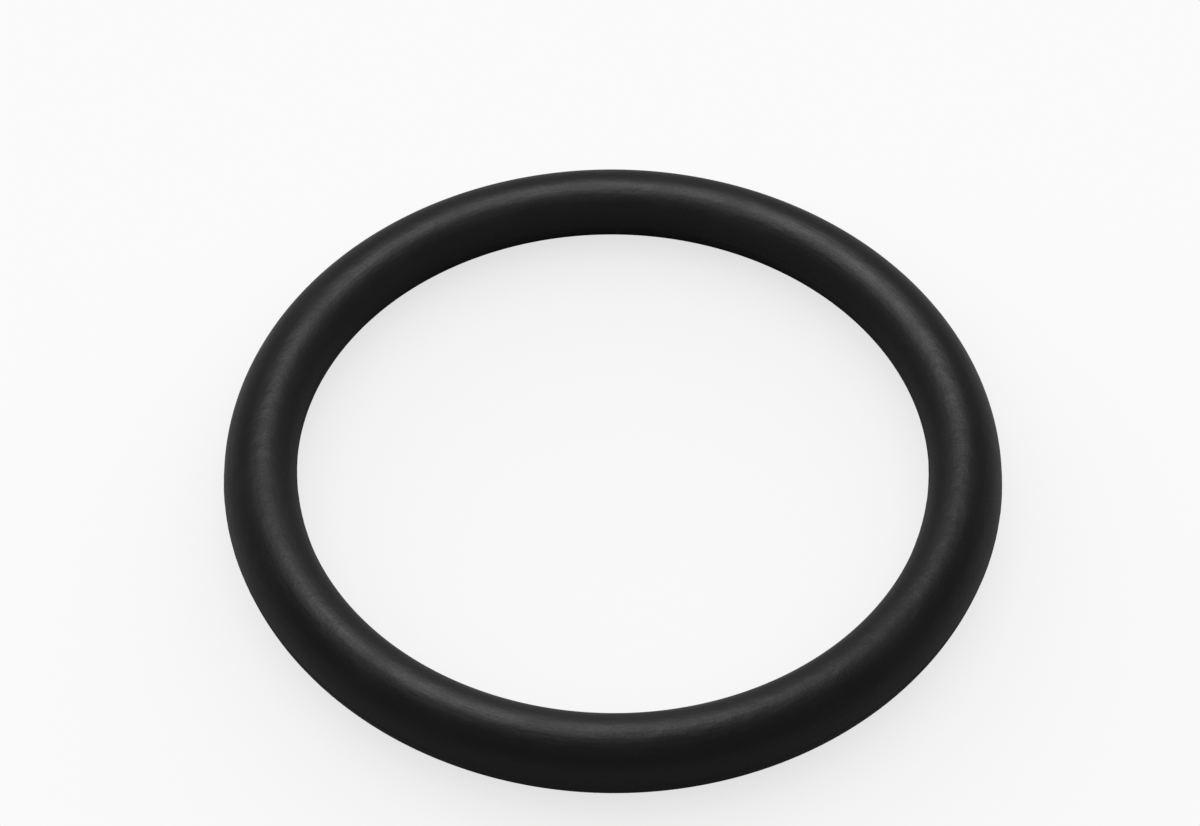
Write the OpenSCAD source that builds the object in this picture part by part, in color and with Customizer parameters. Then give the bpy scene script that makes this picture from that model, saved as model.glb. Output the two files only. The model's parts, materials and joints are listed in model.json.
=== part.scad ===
// O-ring: one moulded rubber ring of round section.
// It lies flat. Z is the ring's axis, and the origin is the ring's centre on the mould's parting plane.
// The mould closes at the two equators, so a low ridge of trimmed flash runs round the inside and the outside.

/* [Ring] */
// Inside diameter of the free ring, between the round sections
inside_d = 46.99; // [30:0.01:90]
// Diameter of the round section
section_d = 5.33; // [3:0.01:8]

/* [Parting line] */
// How far the trimmed flash stands out of the round section
flash_h = 0.05; // [0.02:0.01:0.07]
// Width of the trimmed flash where it meets the round section
flash_w = 0.14; // [0.1:0.01:0.3]

/* [Smoothness] */
// Steps in one turn of the ring
ring_steps = 240; // [96:12:360]
// Steps in one turn of the round section
section_steps = 96; // [48:12:180]

/* [Hidden] */

section_r = section_d / 2;
// Radius of the circle on which the section's centre runs
centre_r = inside_d / 2 + section_r;

// The flash is an arc through its own tip and through the two points where it meets the round section.
flash_tip = section_r + flash_h;
flash_root = sqrt(pow(section_r, 2) - pow(flash_w / 2, 2));
flash_centre = (pow(flash_tip, 2) - pow(flash_root, 2) - pow(flash_w / 2, 2))
             / (2 * (flash_tip - flash_root));
flash_r = flash_tip - flash_centre;

// Trimmed flash on one side of the section: 1 is the outside of the ring, and -1 is the inside
module flash_ridge(side) {
    translate([side * flash_centre, 0])
        circle(r = flash_r, $fn = section_steps);
}

// The round section with its two ridges, drawn round its own centre
module ring_section() {
    circle(r = section_r, $fn = section_steps);
    for (side = [-1, 1])
        flash_ridge(side);
}

module o_ring() {
    color([0.07, 0.07, 0.07])
        rotate_extrude($fn = ring_steps)
            translate([centre_r, 0])
                ring_section();
}

o_ring();
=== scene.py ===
"""O-ring: one moulded rubber ring that lies flat on a plain pale floor.

The ring is a surface worked out with numpy, with the section and the radii that the frame gives.
Lengths are in metres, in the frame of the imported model: Z is the ring's axis.
"""

import json
import math

import bpy
import numpy as np
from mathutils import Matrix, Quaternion, Vector


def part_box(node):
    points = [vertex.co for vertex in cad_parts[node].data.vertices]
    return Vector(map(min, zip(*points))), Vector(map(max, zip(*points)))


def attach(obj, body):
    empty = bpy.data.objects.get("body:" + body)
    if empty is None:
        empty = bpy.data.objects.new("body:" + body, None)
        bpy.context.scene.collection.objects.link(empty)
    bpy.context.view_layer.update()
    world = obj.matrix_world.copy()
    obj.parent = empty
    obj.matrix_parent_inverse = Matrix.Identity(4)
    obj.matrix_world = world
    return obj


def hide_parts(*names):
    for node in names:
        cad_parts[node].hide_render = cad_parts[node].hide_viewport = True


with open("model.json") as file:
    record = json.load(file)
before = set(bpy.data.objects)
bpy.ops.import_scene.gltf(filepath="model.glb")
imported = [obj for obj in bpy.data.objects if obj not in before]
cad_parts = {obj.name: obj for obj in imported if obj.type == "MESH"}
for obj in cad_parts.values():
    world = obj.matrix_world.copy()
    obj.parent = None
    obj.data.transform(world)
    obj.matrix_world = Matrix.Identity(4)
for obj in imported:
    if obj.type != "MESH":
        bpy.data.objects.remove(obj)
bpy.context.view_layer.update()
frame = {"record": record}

MM = 0.001
MICRON = 0.001 * MM

# The ring's own sizes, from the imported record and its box
seal_line = {m["name"]: m["dims"]["r_mm"] * MM for m in frame["record"]["mounts"]}
SECTION_R = (seal_line["outer_seal_line"] - seal_line["inner_seal_line"]) / 2
CENTRE_R = (seal_line["outer_seal_line"] + seal_line["inner_seal_line"]) / 2
FLASH_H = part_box("o_ring")[1].x - seal_line["outer_seal_line"]
FLASH_W = 0.14 * MM

# The trimmed flash: its height swings by at most this share of the full height about its mean, in
# cosines that have these whole numbers of waves in one turn
TRIM_SWING = 0.28
TRIM_WAVES_OUTSIDE = (5, 13, 31, 58, 97, 143, 211)
TRIM_WAVES_INSIDE = (4, 11, 27, 49, 83, 131, 197)

# How finely the ring's surface is divided: the close steps cover a little more than the flash
STEPS_ROUND_RING = 1008
STEPS_PER_HALF_SECTION = 38
STEPS_ACROSS_FLASH = 10
CLOSE_STEPS_COVER = 1.3 * FLASH_W

# The forms of the rubber's skin: the size of their lumps, and their height in microns
UNEVEN_SIZE, UNEVEN_HEIGHT = 1.1 * MM, 46.0
GRAIN_SIZE, GRAIN_HEIGHT = 0.16 * MM, 7.0
LINE_SIZE, LINE_HEIGHT = 0.24 * MM, 9.0

# How fast the unevenness and the tool lines change along the ring, as a share of how fast they
# change round its section
UNEVEN_ALONG = 0.6
LINE_ALONG = 0.01

# The bloom: the size of its patches, and the levels of its noise at which it starts and is full
BLOOM_SIZE = 6.0 * MM
BLOOM_STARTS, BLOOM_FULL = 0.40, 0.70

# The rubber's colour where it is bare and where bloom and flash dull it, and its gloss
BARE_RUBBER = (0.0017, 0.0017, 0.0016)
DULLED_RUBBER = (0.0100, 0.0098, 0.0094)
ROUGHNESS = 0.435
SPECULAR = 0.24
SHEEN_ACROSS = 0.47
QUARTER_TURN = 0.25

# How much each form of the skin moves the tone from bare to dulled, and how much it roughens it
BLOOM_TONE, GRAIN_TONE, FLASH_TONE = 0.25, 0.20, 0.55
BLOOM_ROUGH, GRAIN_ROUGH, LINE_ROUGH, FLASH_ROUGH = 0.06, 0.10, 0.10, 0.14

# Where the dullness of the trimmed flash is full and where it ends, from the parting line
DULL_FULL, DULL_ENDS = 0.35 * FLASH_W, 0.75 * FLASH_W

# The photograph's camera, with lens and sensor in millimetres, and its own 1200 by 826 pixels
IMAGE_W, IMAGE_H = 1200, 826
SENSOR_W = 36.0
LENS = 67.54
CAMERA_DISTANCE = 168.0 * MM
CAMERA_ELEVATION = math.radians(51.06)
CAMERA_ROLL = math.radians(-0.42)
RING_CENTRE_PX = (612.8, 450.0)
NEAREST_SEEN, FARTHEST_SEEN = 0.01, 20.0

# The round backdrop of pale card: a floor, and a low wall a little way out from its edge
FLOOR_R = 3.0
WALL_R = 3.1
WALL_FOOT, WALL_TOP = -0.1, 0.8
BACKDROP_SIDES = 96
CARD_ALBEDO = 0.85

# How pale the camera and reflections see it, and how strongly each of them sees the ring's painted
# shade, which darkens the card's emission by ambient occlusion within this reach
PALE = 0.956
PALE_IN_GLOSS = 0.66
SHADE_REACH = 80 * MM
SHADE_RAYS = 16
SHADE_SEEN = 0.26
SHADE_POWER_IN_GLOSS = 2.2

# The plain grey above the wall
WORLD_GREY = 0.31

# The strip light above the back of the ring
LAMP_CENTRE = Vector((-9.5 * MM, 50.0 * MM, 97.7 * MM))
LAMP_SIZE = (48 * MM, 8 * MM)
LAMP_TILT = math.radians(-53)
LAMP_YAW = math.radians(19)
LAMP_RADIANCE = 76.0


class Flow:
    """A socket of a node tree. Sums on it add Math nodes, and node() adds any other node."""

    def __init__(self, tree, socket=None):
        self.tree = tree
        self.socket = socket

    def node(self, kind, settings=None, inputs=None, output=0):
        """Adds a node of that kind: first its settings, then values or links for its sockets."""
        made = self.tree.nodes.new("ShaderNode" + kind)
        for name, value in (settings or {}).items():
            setattr(made, name, value)
        for name, value in (inputs or {}).items():
            if isinstance(value, Flow):
                self.tree.links.new(value.socket, made.inputs[name])
            else:
                made.inputs[name].default_value = value
        return Flow(self.tree, made.outputs[output])

    def math(self, operation, *others):
        """One Math node, with this socket first and the others after it."""
        return self.node("Math", {"operation": operation}, dict(enumerate((self, *others))))

    def __add__(self, other):
        return self.math("ADD", other)

    def __radd__(self, other):
        return self.math("ADD", other)

    def __sub__(self, other):
        return self.math("SUBTRACT", other)

    def __rsub__(self, other):
        return self.node("Math", {"operation": "SUBTRACT"}, {0: other, 1: self})

    def __mul__(self, other):
        return self.math("MULTIPLY", other)

    def __rmul__(self, other):
        return self.math("MULTIPLY", other)

    def __abs__(self):
        return self.math("ABSOLUTE")

    def noise(self, place, size, detail):
        """Smooth noise about 0.5, whose lumps are about that size."""
        return self.node("TexNoise", inputs={"Vector": place, "Scale": 1 / size, "Detail": detail})

    def rise(self, start, end):
        """0 at start and 1 at end, with a smooth step between them."""
        return self.node(
            "MapRange",
            {"interpolation_type": "SMOOTHSTEP"},
            {"Value": self, "From Min": start, "From Max": end},
        )

    def blend(self, low, high):
        """The colour low where this is 0 and high where it is 1. The Mix node's colour sockets are
        its inputs 6 and 7 and its output 2."""
        return self.node(
            "Mix",
            {"data_type": "RGBA"},
            {"Factor": self, 6: (*low, 1.0), 7: (*high, 1.0)},
            output=2,
        )


def new_material(name):
    """An empty node material, as the flow that its nodes are added to, and its output node."""
    material = bpy.data.materials.new(name)
    material.use_nodes = True
    material.node_tree.nodes.clear()
    output = material.node_tree.nodes.new("ShaderNodeOutputMaterial")
    return material, Flow(material.node_tree), output


def rubber_material():
    """Satin black moulded rubber.

    Three things lift or lower the skin by some microns: a slow unevenness of the moulded section,
    the fine grain of the mould, and the mould's tool lines. The unevenness and the lines read the
    way round the section, which is worked out from the place on the ring, and only a share of the
    place seen from above. So the one is drawn out along the ring, and the others run right round
    it. The lines also spread the sheen more across the ring than along it: the anisotropy, with a
    quarter turn. A thin cloudy bloom makes patches a little paler and duller, and the trimmed flash
    is duller still.
    """
    material, flow, output = new_material("satin_black_rubber")
    place = flow.node("TexCoord", output="Object")
    x, y, z = (flow.node("SeparateXYZ", inputs={0: place}, output=i) for i in range(3))
    reach = (x * x + y * y).math("SQRT") - CENTRE_R
    across = z.math("ARCTAN2", reach) * SECTION_R

    drawn_out, lined = (
        flow.node("CombineXYZ", inputs={0: x * along, 1: y * along, 2: across})
        for along in (UNEVEN_ALONG, LINE_ALONG)
    )
    slow = flow.noise(drawn_out, UNEVEN_SIZE, detail=3.0)
    lines = flow.noise(lined, LINE_SIZE, detail=2.0)
    grain = flow.noise(place, GRAIN_SIZE, detail=2.0)
    bloom = flow.noise(place, BLOOM_SIZE, detail=5.0).rise(BLOOM_STARTS, BLOOM_FULL)
    flash = 1.0 - abs(z).rise(DULL_FULL, DULL_ENDS)

    tone = bloom * BLOOM_TONE + grain * GRAIN_TONE + flash * FLASH_TONE
    fine_change = (grain - 0.5) * GRAIN_ROUGH + (lines - 0.5) * LINE_ROUGH
    roughness = ROUGHNESS + bloom * BLOOM_ROUGH + fine_change + flash * FLASH_ROUGH
    height = slow * UNEVEN_HEIGHT + grain * GRAIN_HEIGHT + lines * LINE_HEIGHT
    bump = flow.node("Bump", inputs={"Height": height, "Strength": 1.0, "Distance": MICRON})
    rubber = flow.node(
        "BsdfPrincipled",
        inputs={
            "Base Color": tone.blend(BARE_RUBBER, DULLED_RUBBER),
            "Roughness": roughness,
            "Normal": bump,
            "Specular IOR Level": SPECULAR,
            "Anisotropic": SHEEN_ACROSS,
            "Anisotropic Rotation": QUARTER_TURN,
        },
    )
    flow.tree.links.new(rubber.socket, output.inputs["Surface"])
    return material


def card_material():
    """Nearly white to the camera and light grey to reflections, less a painted shade of the ring, and
    plain pale card to the light that it sends back.

    The painted shade is the share of a half sphere round the lamp's direction that the ring hides, taken
    off the emission's colour; it is not a shadow that the lamp casts. The camera sees only a part of it,
    and reflections see the share left open raised to a power, which deepens the painted shade next to
    the ring.
    """
    material, flow, output = new_material("pale_card")
    path = flow.tree.nodes.new("ShaderNodeLightPath")
    camera, glossy, through = (
        Flow(flow.tree, path.outputs[name])
        for name in ("Is Camera Ray", "Is Glossy Ray", "Is Transmission Ray")
    )
    to_lamp = LAMP_CENTRE.normalized()
    leaning = flow.node("CombineXYZ", inputs=dict(enumerate(to_lamp)))
    open_sky = flow.node(
        "AmbientOcclusion",
        {"samples": SHADE_RAYS},
        {"Distance": SHADE_REACH, "Normal": leaning},
        output="AO",
    )
    # Painted shade: the emission's colour is darkened where the ring hides the sky, for the camera and,
    # deeper, for reflections
    seen_white = (1.0 - (1.0 - open_sky) * SHADE_SEEN) * PALE
    gloss_white = open_sky.math("POWER", SHADE_POWER_IN_GLOSS) * PALE_IN_GLOSS
    white = flow.node("Emission", inputs={"Color": gloss_white + camera * (seen_white - gloss_white)})
    card = flow.node("BsdfDiffuse", inputs={"Color": (CARD_ALBEDO,) * 3 + (1.0,)})
    seen = (camera + glossy + through).math("MINIMUM", 1.0)
    mixed = flow.node("MixShader", inputs={0: seen, 1: card, 2: white})
    flow.tree.links.new(mixed.socket, output.inputs["Surface"])
    return material


def uneven(around, counts, seed):
    """A closed, uneven wave round the ring from -1 to 1: the mean of cosines with these whole
    numbers of waves in one turn, each with its own seeded start."""
    starts = np.random.default_rng(seed).uniform(0, 2 * math.pi, len(counts))
    waves = [np.cos(count * around + start) for count, start in zip(counts, starts)]
    return np.mean(waves, axis=0)


def section_angles():
    """Angles round the section, from the bottom. They are even, with a closer set across each
    flash, which stands at 0 (outside) and at half a turn (inside)."""
    edge = CLOSE_STEPS_COVER / SECTION_R / 2
    fine = np.linspace(-edge, edge, STEPS_ACROSS_FLASH + 1)
    plain = np.linspace(edge, math.pi - edge, STEPS_PER_HALF_SECTION + 1)[1:-1]
    turn = np.concatenate([fine, plain, fine + math.pi, plain + math.pi])
    return np.sort((turn + math.pi / 2) % (2 * math.pi)) - math.pi / 2


def ring_points(around, section):
    """The ring's surface on a grid: rows run round the ring, columns round the section.

    A point at angle a round the ring and t round the section lies at
    ((C + q cos t) cos a, (C + q cos t) sin a, q sin t). Here C is the radius of the section's
    centre line, and q is the section's radius plus the flash. The flash is h (1 - w^2)^2, where w
    is the distance from the parting line over half the flash's width, and h falls and rises
    round the ring, as a trimming knife leaves it.
    """
    a, t = np.meshgrid(around, section, indexing="ij")
    outside = np.cos(t) > 0
    from_line = np.arcsin(np.sin(t)) * SECTION_R
    w = np.clip(np.abs(from_line) / (FLASH_W / 2), 0, 1)
    cut_outside = 1 - TRIM_SWING + TRIM_SWING * uneven(a, TRIM_WAVES_OUTSIDE, seed=3)
    cut_inside = 1 - TRIM_SWING + TRIM_SWING * uneven(a, TRIM_WAVES_INSIDE, seed=8)
    q = SECTION_R + FLASH_H * np.where(outside, cut_outside, cut_inside) * (1 - w**2) ** 2
    reach = CENTRE_R + q * np.cos(t)
    return np.stack([reach * np.cos(a), reach * np.sin(a), q * np.sin(t)], axis=-1)


def closed_grid(name, points):
    """A mesh of four-sided faces over a grid of points that closes on itself both ways, with a UV
    map that runs from 0 to 1 along each way."""
    rows, columns = points.shape[:2]
    row, column = np.meshgrid(np.arange(rows), np.arange(columns), indexing="ij")
    corner_rows = np.stack([row, row + 1, row + 1, row], axis=-1)
    corner_columns = np.stack([column, column, column + 1, column + 1], axis=-1)
    corners = (corner_rows % rows) * columns + corner_columns % columns
    uv = np.stack([corner_rows / rows, corner_columns / columns], axis=-1)

    mesh = bpy.data.meshes.new(name)
    faces = rows * columns  # and as many points, because the grid closes both ways
    mesh.vertices.add(faces)
    mesh.vertices.foreach_set("co", points.astype(np.float32).ravel())
    mesh.loops.add(4 * faces)
    mesh.loops.foreach_set("vertex_index", corners.astype(np.int32).ravel())
    mesh.polygons.add(faces)
    mesh.polygons.foreach_set("loop_start", np.arange(0, 4 * faces, 4, dtype=np.int32))
    mesh.uv_layers.new(name="UVMap").data.foreach_set("uv", uv.astype(np.float32).ravel())
    mesh.update(calc_edges=True)
    mesh.validate()
    mesh.shade_smooth()
    return mesh


def add_object(name, data):
    """A new object at the origin, in the scene."""
    made = bpy.data.objects.new(name, data)
    bpy.context.scene.collection.objects.link(made)
    return made


def make_ring():
    """The moulded ring, which stands for its plain solid."""
    around = np.arange(STEPS_ROUND_RING) * (2 * math.pi / STEPS_ROUND_RING)
    ring = add_object("moulded_ring", closed_grid("moulded_ring", ring_points(around, section_angles())))
    ring.data.materials.append(rubber_material())
    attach(ring, "root")
    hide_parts("o_ring")


def make_backdrop():
    """A wide round floor of pale card under the ring, and a low wall of the same card round it, as on a
    photographer's table. The wall stands clear of the floor's edge by more than the reach of the painted
    shade, so the two lay no painted shade on each other. The floor is one many-sided face, and the faces
    of the wall look inwards."""
    n = BACKDROP_SIDES
    circle = [(math.cos(2 * math.pi * i / n), math.sin(2 * math.pi * i / n)) for i in range(n)]
    rims = [(FLOOR_R, -SECTION_R), (WALL_R, WALL_FOOT), (WALL_R, WALL_TOP)]
    points = [(radius * x, radius * y, z) for radius, z in rims for x, y in circle]
    sides = [(n + i, n + (i + 1) % n) for i in range(n)]
    walls = [(b, a, a + n, b + n) for a, b in sides]
    mesh = bpy.data.meshes.new("backdrop")
    mesh.from_pydata(points, [], [tuple(range(n)), *walls])
    mesh.materials.append(card_material())
    add_object("backdrop", mesh)


def make_camera():
    """The photograph's camera: it looks along +Y from above, and turns off the ring's centre until
    that centre falls on its pixel."""
    data = bpy.data.cameras.new("camera")
    data.sensor_width = SENSOR_W
    data.lens = LENS
    data.clip_start, data.clip_end = NEAREST_SEEN, FARTHEST_SEEN
    focal_px = LENS / SENSOR_W * IMAGE_W
    back = Vector((0, -math.cos(CAMERA_ELEVATION), math.sin(CAMERA_ELEVATION)))
    to_centre = Vector((RING_CENTRE_PX[0] - IMAGE_W / 2, IMAGE_H / 2 - RING_CENTRE_PX[1], -focal_px))
    level = back.to_track_quat("Z", "Y")
    rolled = level @ Quaternion((0, 0, 1), -CAMERA_ROLL)
    off_centre = Vector((0, 0, -1)).rotation_difference(to_centre.normalized())
    camera = add_object("camera", data)
    camera.location = back * CAMERA_DISTANCE
    camera.rotation_mode = "QUATERNION"
    camera.rotation_quaternion = rolled @ off_centre.inverted()
    bpy.context.scene.camera = camera


def make_lamp(name, centre, size, tilt, yaw, radiance):
    """A flat lamp of that size, whose face looks down, leans about X by tilt and turns by yaw. Its
    power is its radiance times pi times its area."""
    data = bpy.data.lights.new(name, "AREA")
    data.shape = "RECTANGLE"
    data.size, data.size_y = size
    data.energy = radiance * math.pi * size[0] * size[1]
    lamp = add_object(name, data)
    lamp.location = centre
    lamp.rotation_euler = (tilt, 0, yaw)
    lamp.visible_camera = False


def make_world():
    """The same plain grey from all sides."""
    world = bpy.data.worlds.new("world")
    bpy.context.scene.world = world
    world.use_nodes = True
    world.node_tree.nodes.clear()
    flow = Flow(world.node_tree)
    light = flow.node("Background", inputs={"Color": (WORLD_GREY,) * 3 + (1.0,)})
    output = flow.tree.nodes.new("ShaderNodeOutputWorld")
    flow.tree.links.new(light.socket, output.inputs["Surface"])


make_camera()
make_world()
make_lamp("strip_light", LAMP_CENTRE, LAMP_SIZE, LAMP_TILT, LAMP_YAW, LAMP_RADIANCE)
make_backdrop()
make_ring()

bpy.context.scene.view_settings.view_transform = "Standard"
